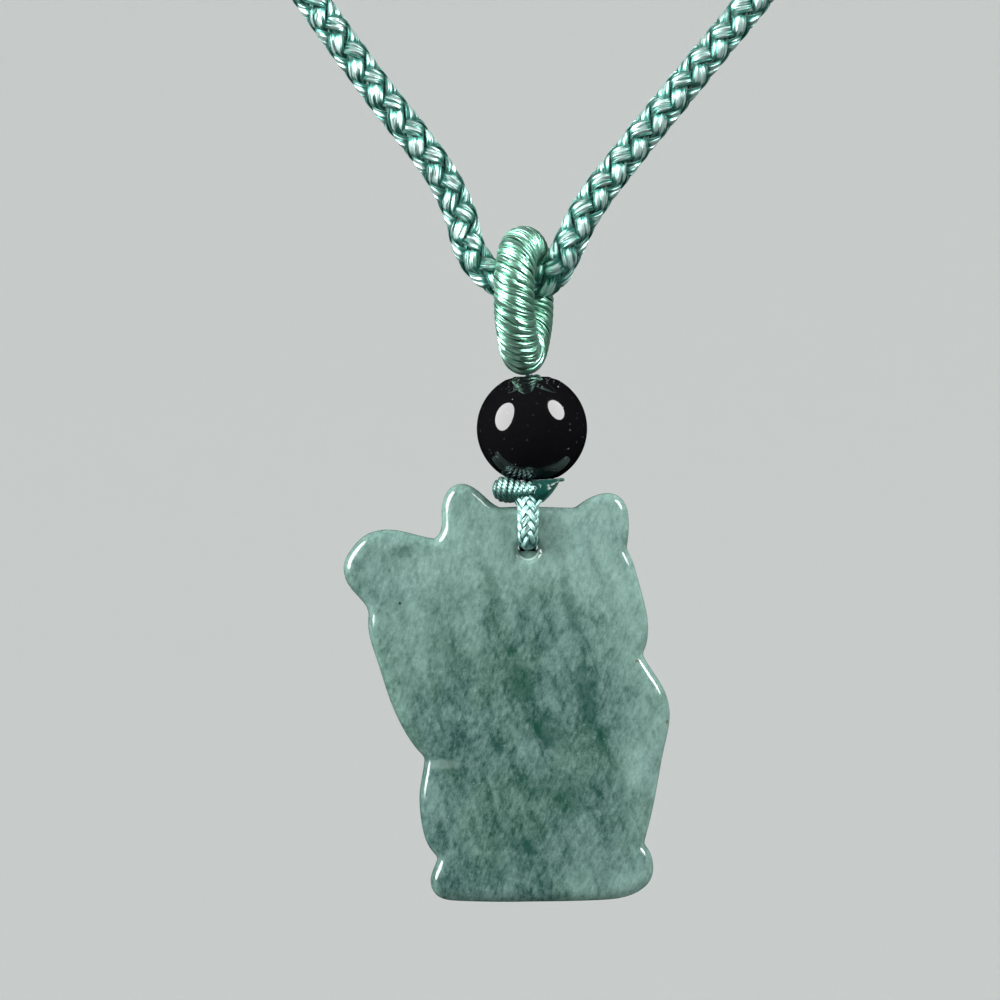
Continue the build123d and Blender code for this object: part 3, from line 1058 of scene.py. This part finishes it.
class PENDANT_OT_knot(bpy.types.Operator):
    """Ties the knot under the bead: a coil on the left, slanting turns in the middle and the sealed end"""

    bl_idname = "pendant.knot"
    bl_label = "Tie the knot"

    TURNS = [
        # (across, rise, height, depth, lean across, width, thickness, bulge), in millimetres
        (-2.26, 0.26, 1.46, 3.6, 0.00, 0.38, 0.34, 0.16),
        (-1.96, 0.27, 1.90, 4.3, 0.00, 0.42, 0.36, 0.16),
        (-1.60, 0.24, 1.98, 4.6, 0.00, 0.44, 0.38, 0.15),
        (-1.24, 0.18, 1.88, 4.6, 0.06, 0.42, 0.38, 0.08),
        (-0.94, 0.14, 1.74, 4.7, 0.20, 0.40, 0.36, 0.0),
        (-0.62, 0.12, 1.64, 5.0, 0.36, 0.46, 0.42, 0.0),
        (-0.24, 0.12, 1.64, 5.2, 0.44, 0.50, 0.44, 0.0),
        (0.16, 0.12, 1.60, 5.1, 0.46, 0.50, 0.44, 0.0),
        (0.54, 0.08, 1.50, 4.7, 0.42, 0.44, 0.42, 0.0),
        (0.88, 0.05, 1.30, 4.2, 0.34, 0.40, 0.38, 0.0),
    ]
    NECK = [
        # (left, right, height of its ends, sag, stands forward), in millimetres
        (-0.80, 0.30, 0.20, 0.34, 0.10),
        (-0.25, 0.95, 0.26, 0.30, 0.24),
        (-0.62, 0.74, 0.08, 0.26, 0.02),
    ]
    NECK_STRAND = (0.34 * MM, 0.3 * MM)
    # Its loops' reach from the knot's middle, how far they belly out, their height above its foot, in
    # millimetres, and how far they face down
    NECK_REACH = 1.9
    NECK_BELLY = 0.35
    NECK_RISE = 0.1
    NECK_DOWN = -0.6
    CORE = [
        # (across, width, thickness), in millimetres
        (-2.2, 2.2, 0.6), (-1.9, 3.2, 1.0), (-1.2, 3.8, 1.2),
        (0.0, 4.2, 1.2), (0.8, 3.8, 1.1), (1.1, 2.6, 0.7),
    ]
    CORE_RISE = 0.1
    # A turn's plies: how many, how often they twist round it, and their shares of its width and thickness
    PLIES = 3
    TWISTS = 6
    PLY_ASIDE = (0.26, 0.22)
    PLY_SIZE = (0.62, 0.56)
    # How squarely a turn goes round the knot, and where on it the painted light falls: a painted highlight
    # on its upper front and painted shade on its lower back
    SQUARENESS = 0.7
    PAINTED_LIGHT_FROM = 0.83
    # The sealed end, in millimetres: its start, its length, how tall and deep it starts, and its thinnest
    TAIL_START = 0.62
    TAIL_LENGTH = 2.0
    TAIL_HEIGHT = 1.5
    TAIL_DEPTH = 1.35
    TAIL_POINT = 0.14
    TAIL_STRANDS = 9
    TAIL_FILL = 0.72

    def execute(self, context):
        look = context.scene.pendant_hanger
        low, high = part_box("knot")
        middle = np.array((low + high) / 2)
        middle[0] = 0
        threads = Threads()
        self.turns(threads, middle)
        self.core(threads, middle)
        self.neck(threads, middle, low)
        piece = threads.piece("tied_knot", fine_silk(look))
        fit_to_frame(piece, "drop", "fine_braid", "knot")
        threads = Threads()
        self.tail(threads, middle, high)
        piece = threads.piece("sealed_end", sealed_silk(look))
        fit_to_frame(piece, "drop", "fine_braid", "knot")
        return {"FINISHED"}

    def turns(self, threads, middle):
        """Turns of the thin cord round the knot, each of twisted plies."""
        angle = np.linspace(0, TURN, 176, endpoint=False)
        outward = round_x(angle)
        ply_aside, ply_away = self.PLY_ASIDE
        ply_width, ply_thickness = self.PLY_SIZE
        for place, rise, height, depth, lean, width, thickness, bulge in self.TURNS:
            squared = np.sign(np.cos(angle)) * np.abs(np.cos(angle)) ** self.SQUARENESS
            radius_y = (depth - thickness) / 2 * squared
            radius_z = (height - thickness) / 2 * np.sin(angle)
            across = place + lean * np.sin(angle) - bulge * np.cos(angle) ** 2
            centres = middle + np.stack([across, radius_y, rise + radius_z], axis=1) * MM
            for ply in range(self.PLIES):
                twist = TURN * ply / self.PLIES + self.TWISTS * angle + place
                lift = np.cos(twist)
                away = outward * (lift * thickness * ply_away)[:, None]
                away[:, 0] += np.sin(twist) * width * ply_aside
                # Painted highlight on each turn's upper front, painted shade on its lower back, lighter
                # where a ply lies out
                crown = (0.46 + 0.46 * np.sin(angle - self.PAINTED_LIGHT_FROM)) * (0.76 + 0.24 * lift)
                threads.add(
                    centres + away * MM, outward, width * ply_width * MM, thickness * ply_thickness * MM,
                    crown, sides=8, closed=True)

    def core(self, threads, middle):
        """A core that fills the knot under its turns, in the painted-shade colour."""
        across, wide, thick = np.array(self.CORE).T
        line = middle + np.stack([across, 0 * across, 0 * across + self.CORE_RISE], axis=1) * MM
        threads.add(line, UPWARD, wide * MM, thick * MM, 0.0, sides=20)

    def neck(self, threads, middle, low):
        """Small loops where the two runs of the thin cord come out of the knot, on both faces."""
        share = np.linspace(0, 1, 18)
        bow = np.sin(share * math.pi)
        for side in (-1, 1):
            for left, right, height, sag, forward in self.NECK:
                across = left + (right - left) * share
                rise = height - (sag + height) * bow + self.NECK_RISE
                reach = side * (self.NECK_REACH + forward + self.NECK_BELLY * bow)
                centres = np.stack([across * MM * -side, middle[1] + reach * MM, low.z + rise * MM], axis=1)
                threads.add(centres, np.array([0, side, self.NECK_DOWN]), *self.NECK_STRAND, 0.95)

    def tail(self, threads, middle, high):
        """The cord's short end: strands pressed together, drawn out to a point and sealed with heat."""
        share = np.linspace(0, 1, 24)
        across = self.TAIL_START + share * self.TAIL_LENGTH
        top = high.z / MM + 0.14 + 0.06 * share
        drop = self.TAIL_HEIGHT * np.clip(1.55 * (0.8 - share), 0, 1) ** 0.8
        foot = top - drop - 0.2 * (1 - 0.5 * share)
        deep = self.TAIL_DEPTH * (1 - share) ** 0.8 + self.TAIL_POINT
        forward = middle[1] / MM - 1.3 - 0.35 * np.sin(share * 3.0)
        line = np.stack([across, forward, (top + foot) / 2], axis=1) * MM
        tall = (top - foot) / 2
        for strand in range(self.TAIL_STRANDS):
            angle = TURN * strand / self.TAIL_STRANDS + share * 1.3
            outward = round_x(angle)
            away = outward * np.stack([0 * share, deep * self.TAIL_FILL, tall * self.TAIL_FILL], axis=1) * MM
            width = (0.2 + 1.05 * tall) * MM
            threads.add(line + away, outward, width, width * 0.5, 0.35 + 0.62 * share**3)
        # The core takes crown 0, so it is in the painted-shade colour
        threads.add(line, UPWARD, deep * 1.7 * MM, tall * 1.7 * MM, 0.0, sides=16)


class PENDANT_OT_bead_ply(bpy.types.Operator):
    """Twists the thread that runs through the bead"""

    bl_idname = "pendant.bead_ply"
    bl_label = "Twist the bead's thread"

    PLIES = 3
    TURNS = 3
    POINTS = 60
    # How far a ply lies from the thread's middle and how wide it is, as shares of half the thread's radius
    PLY_REACH = 1.1
    PLY_WIDTH = 1.8

    def execute(self, context):
        look = context.scene.pendant_hanger
        low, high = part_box("bead_thread")
        middle = (low + high) / 2
        part = np.linspace(0, 1, self.POINTS)
        half_radius = (high.x - low.x) / 4
        width = half_radius * self.PLY_WIDTH
        threads = Threads()
        for ply in range(self.PLIES):
            angle = TURN * (ply / self.PLIES + self.TURNS * part)
            outward = np.stack([np.cos(angle), np.sin(angle), 0 * angle], axis=1)
            centres = outward * half_radius * self.PLY_REACH + np.array((middle.x, middle.y, 0))
            centres[:, 2] = low.z + part * (high.z - low.z)
            # Crown 0.4 keeps the thread through the bore mostly in the painted-shade colour
            threads.add(centres, outward, width, width, 0.4, sides=8)
        piece = threads.piece("bead_ply", fine_silk(look))
        fit_to_frame(piece, "drop", "fine_braid", "bead_thread")
        return {"FINISHED"}


class PENDANT_OT_jade_cat(bpy.types.Operator):
    """Carves the jade: a fine mesh of the plate with its rims polished and its far side cut in relief"""

    bl_idname = "pendant.jade_cat"
    bl_label = "Carve the jade"

    # The hole and its polished mouths, in millimetres
    HOLE = 0.87
    POLISHED_HOLE = 0.76
    POLISH_REACH = 0.7
    MOUTH_ROUND = 0.22
    WAIST = 0.7
    SILL = 0.16
    # The far face, and how squarely a surface faces that way before it is cut
    GROUND = -114.5
    FACING = (0.35, 0.8)
    # Grooves round the raised forms: where each is, how wide, and how deep as a share of the form
    COIN_BORDER = (0.8, 0.07)
    FOOT = (1.04, 0.06)
    FOOT_DEPTH = 0.3
    # How deep a groove is where its painted shade is darkest
    FULL_SHADE_GROOVE = 0.24
    # No cut reaches further than this from its middle
    CUT_REACH = 8

    def execute(self, context):
        look = context.scene.pendant_jade
        node = frame["nodes"]["jade_cat"]
        piece = bpy.data.objects.new("jade_carving", node.data.copy())
        context.scene.collection.objects.link(piece)
        choose(piece)
        bpy.ops.object.mode_set(mode="EDIT")
        bpy.ops.mesh.select_all(action="SELECT")
        bpy.ops.mesh.remove_doubles(threshold=1e-7)
        bpy.ops.object.mode_set(mode="OBJECT")
        remesh = piece.modifiers.new("fine", "REMESH")
        remesh.mode = "VOXEL"
        remesh.voxel_size = look.voxel
        polish = piece.modifiers.new("polish", "SMOOTH")
        polish.iterations = 8
        for modifier in ("fine", "polish"):
            bpy.ops.object.modifier_apply(modifier=modifier)
        self.carve(piece.data)
        piece.data.shade_smooth()
        piece.data.materials.clear()
        piece.data.materials.append(green_jade(look))
        fit_to_frame(piece, "drop", "green_jade", "jade_cat")
        return {"FINISHED"}

    def carve(self, mesh):
        """Cuts the far side's relief, shapes the hole and sets painted shade in the grooves by the attribute
        "carved".
        """
        count = len(mesh.vertices)
        spots = np.empty(count * 3)
        normals = np.empty(count * 3)
        mesh.vertices.foreach_get("co", spots)
        mesh.vertices.foreach_get("normal", normals)
        spots = spots.reshape(-1, 3) / MM
        low, high = self.FACING
        facing = np.clip((normals.reshape(-1, 3)[:, 1] - low) / (high - low), 0, 1)
        facing *= spots[:, 1] > self.GROUND - 0.5
        across, down = spots[:, 0], JADE_CROWN - spots[:, 2]
        mounds, borders = self.mounds(across, down)
        cuts = self.cuts(across, down) + borders
        spots[:, 1] += facing * (mounds - cuts)
        self.shape_hole(spots)
        mesh.vertices.foreach_set("co", (spots * MM).ravel())
        # How much painted shade each groove gets
        carved = mesh.attributes.new("carved", "FLOAT", "POINT")
        carved.data.foreach_set("value", np.clip(facing * cuts / self.FULL_SHADE_GROOVE, 0, 1).astype(np.float32))
        mesh.update()

    def mounds(self, across, down):
        """How far the raised forms stand up at each place, and how deep the grooves round them are."""
        raised = np.zeros(len(across))
        sunk = np.zeros(len(across))
        for x, y, half_width, half_height, lean, height, border in MOUNDS:
            turn = math.radians(lean)
            right, fall = across - x, down - y
            flat = (right * math.cos(turn) + fall * math.sin(turn)) / half_width
            tall = (fall * math.cos(turn) - right * math.sin(turn)) / half_height
            away = np.hypot(flat, tall)
            raised += height * (1 - np.clip(away, 0, 1) ** 4) ** 0.7
            for depth, (place, width) in (
                    (border, self.COIN_BORDER), (abs(height) * self.FOOT_DEPTH, self.FOOT)):
                sunk += depth * np.exp(-(((away - place) / width) ** 2))
        return raised, sunk

    def cuts(self, across, down):
        """How deep the cuts are at each place."""
        sunk = np.zeros(len(across))
        share = np.linspace(0, 1, 13)[:, None]
        for start, bend, end, width, depth in CUTS:
            start, bend, end = np.array(start), np.array(bend), np.array(end)
            path = (1 - share) ** 2 * start + 2 * share * (1 - share) * bend + share**2 * end
            centre = path.mean(axis=0)
            near = np.maximum(np.abs(across - centre[0]), np.abs(down - centre[1])) < self.CUT_REACH
            spots = np.stack([across[near], down[near]], axis=1)
            away = np.full(len(spots), 99.0)
            for first, second in zip(path, path[1:]):
                step = second - first
                part = np.clip((spots - first) @ step / (step @ step), 0, 1)
                away = np.minimum(away, np.linalg.norm(spots - first - part[:, None] * step, axis=1))
            sunk[near] = np.maximum(sunk[near], depth * np.exp(-((away / width) ** 2)))
        return sunk

    def shape_hole(self, spots):
        """Narrows the hole, most at a waist below the cord, and polishes both its mouths round."""
        rise = spots[:, 2] - (JADE_CROWN - HOLE_DOWN)
        away = np.hypot(spots[:, 0], rise)
        inner = away < self.HOLE + 0.04
        front, far = spots[inner, 1].min(), spots[inner, 1].max()
        depth = (2 * spots[:, 1] - front - far) / (far - front)
        below = (1 - depth**6) * np.where(inner, np.clip(-rise / away, 0, 1), 0)
        beyond = np.clip((away - self.HOLE) / self.POLISH_REACH, 0, 1)
        moved = away - (self.HOLE - self.POLISHED_HOLE) * (1 - beyond) ** 2 - self.WAIST * below
        size = self.MOUTH_ROUND
        for side, face in ((-1, front), (1, far)):
            out = moved - (self.POLISHED_HOLE + size)
            deep = (face - spots[:, 1]) * side - size
            corner = (out < 0) & (deep < 0)
            stretch = size / np.hypot(out, deep)[corner]
            moved[corner] = self.POLISHED_HOLE + size + out[corner] * stretch
            spots[corner, 1] = face - side * (size + deep[corner] * stretch)
        spots[:, 0] *= moved / away
        spots[:, 2] = JADE_CROWN - HOLE_DOWN + rise * moved / away + self.SILL * below


# Stage

class PENDANT_OT_studio(bpy.types.Operator):
    """Sets up the pale floor, the soft boxes and the camera"""

    bl_idname = "pendant.studio"
    bl_label = "Set up the studio"

    CAMERA_ACROSS = -2.07 * MM
    CAMERA_UP = -214.9 * MM
    # The floor's reach all round, how wide its bend is, and into how many parts it is divided
    FLOOR_REACH = 3.2
    WALL_BEND = 1.4
    FLOOR_SIDES = 96
    BEND_STEPS = 12
    LAMPS = [
        # (name, right, forward, up, width, height, share of the power)
        ("left_soft_box", -0.838, 0.395, 0.377, 0.26, 0.32, 1.0),
        ("right_soft_box", 0.725, 0.385, 0.572, 0.2, 0.23, 0.56),
        ("far_soft_box", 0.3, -0.5, 0.81, 0.46, 0.46, 0.5),
    ]
    LAMP_DISTANCE = 0.34
    LAMP_TARGET = (0, -116 * MM, -215 * MM)
    PENDANT_FRONT = -117 * MM

    def execute(self, context):
        look = context.scene.pendant_studio
        self.floor(context, look)
        self.lamps(context, look)
        self.camera(context, look)
        return {"FINISHED"}

    def floor(self, context, look):
        """A round floor that curves up into a low wall all round, so it has no edge to see."""
        height = cad_box[0].z - look.floor_drop
        deselect()
        flat_reach = self.FLOOR_REACH - self.WALL_BEND
        bpy.ops.mesh.primitive_circle_add(
            vertices=self.FLOOR_SIDES, radius=flat_reach, fill_type="NGON", location=(0, 0, height))
        floor = context.object
        floor.name = "studio_floor"
        mesh = bmesh.new()
        mesh.from_mesh(floor.data)
        rim = [edge for edge in mesh.edges if edge.is_boundary or len(edge.link_faces) == 1]
        for step in range(1, self.BEND_STEPS + 1):
            angle = step / self.BEND_STEPS * math.pi / 2
            made = bmesh.ops.extrude_edge_only(mesh, edges=rim)["geom"]
            rim = [item for item in made if isinstance(item, bmesh.types.BMEdge)]
            reach = flat_reach + self.WALL_BEND * math.sin(angle)
            rise = self.WALL_BEND * (1 - math.cos(angle))
            for vertex in {vertex for edge in rim for vertex in edge.verts}:
                flat = Vector((vertex.co.x, vertex.co.y, 0)).normalized() * reach
                vertex.co = (flat.x, flat.y, rise)
        mesh.to_mesh(floor.data)
        mesh.free()
        bpy.ops.object.transform_apply(location=True, rotation=True, scale=True)
        floor.data.shade_smooth()
        floor.data.materials.append(pale_floor(look))
        floor.visible_glossy = False

    def lamps(self, context, look):
        """Three soft boxes and pale air. The air, the floor and the far lamp don't show in gloss."""
        for name, right, forward, up, width, height, share in self.LAMPS:
            light = bpy.data.lights.new(name, "AREA")
            light.shape = "ELLIPSE"
            light.size = width
            light.size_y = height
            light.energy = look.lamp_power * share
            lamp = bpy.data.objects.new(name, light)
            context.scene.collection.objects.link(lamp)
            lamp.visible_glossy = forward > 0
            way = Vector((right, -forward, up)).normalized()
            lamp.location = Vector(self.LAMP_TARGET) + way * self.LAMP_DISTANCE
            lamp.rotation_mode = "QUATERNION"
            lamp.rotation_quaternion = way.to_track_quat("Z", "Y")
        world = bpy.data.worlds.new("studio_air")
        world.use_nodes = True
        air = world.node_tree.nodes["Background"]
        air.inputs["Color"].default_value = (*AIR, 1)
        air.inputs["Strength"].default_value = look.fill
        world.cycles_visibility.glossy = False
        context.scene.world = world
        context.scene.view_settings.view_transform = "Standard"

    def camera(self, context, look):
        """A camera straight in front of the jade's plain back."""
        lens = bpy.data.cameras.new("camera")
        lens.sensor_width = 36
        lens.lens = lens.sensor_width * look.camera_distance / look.frame_width
        lens.clip_start = 0.01
        camera = bpy.data.objects.new("camera", lens)
        camera.location = (self.CAMERA_ACROSS, self.PENDANT_FRONT - look.camera_distance, self.CAMERA_UP)
        camera.rotation_euler = (math.pi / 2, 0, 0)
        context.scene.collection.objects.link(camera)
        context.scene.camera = camera


class PENDANT_PT_panel(bpy.types.Panel):
    """Lists the pieces and their settings"""

    bl_label = "Lucky cat pendant"
    bl_space_type = "VIEW_3D"
    bl_region_type = "UI"
    bl_category = "Pendant"

    def draw(self, context):
        for group, (_, *operators) in GROUPS.items():
            box = self.layout.box()
            look = getattr(context.scene, group)
            for operator in operators:
                box.operator(operator.bl_idname)
            for name in look.bl_rna.properties.keys():
                if name not in ("rna_type", "name"):
                    box.prop(look, name)


GROUPS = {
    "pendant_studio": (StudioLook, PENDANT_OT_studio),
    "pendant_cord": (CordLook, PENDANT_OT_necklace_cord, PENDANT_OT_closing_sleeve),
    "pendant_loop": (LoopLook, PENDANT_OT_wound_loop),
    "pendant_bead": (BeadLook, PENDANT_OT_black_bead),
    "pendant_hanger": (HangerLook, PENDANT_OT_thin_braid, PENDANT_OT_knot, PENDANT_OT_bead_ply),
    "pendant_jade": (JadeLook, PENDANT_OT_jade_cat),
}
CLASSES = [item for group in GROUPS.values() for item in group] + [PENDANT_PT_panel]


def register():
    for item in CLASSES:
        bpy.utils.register_class(item)
    for name, (look, *_) in GROUPS.items():
        setattr(bpy.types.Scene, name, PointerProperty(type=look))


def unregister():
    for name in GROUPS:
        delattr(bpy.types.Scene, name)
    for item in reversed(CLASSES):
        bpy.utils.unregister_class(item)


def main():
    register()
    bpy.ops.pendant.studio()
    bpy.ops.pendant.necklace_cord()
    bpy.ops.pendant.closing_sleeve()
    bpy.ops.pendant.wound_loop()
    bpy.ops.pendant.black_bead()
    bpy.ops.pendant.thin_braid()
    bpy.ops.pendant.knot()
    bpy.ops.pendant.bead_ply()
    bpy.ops.pendant.jade_cat()


if __name__ == "__main__":
    main()
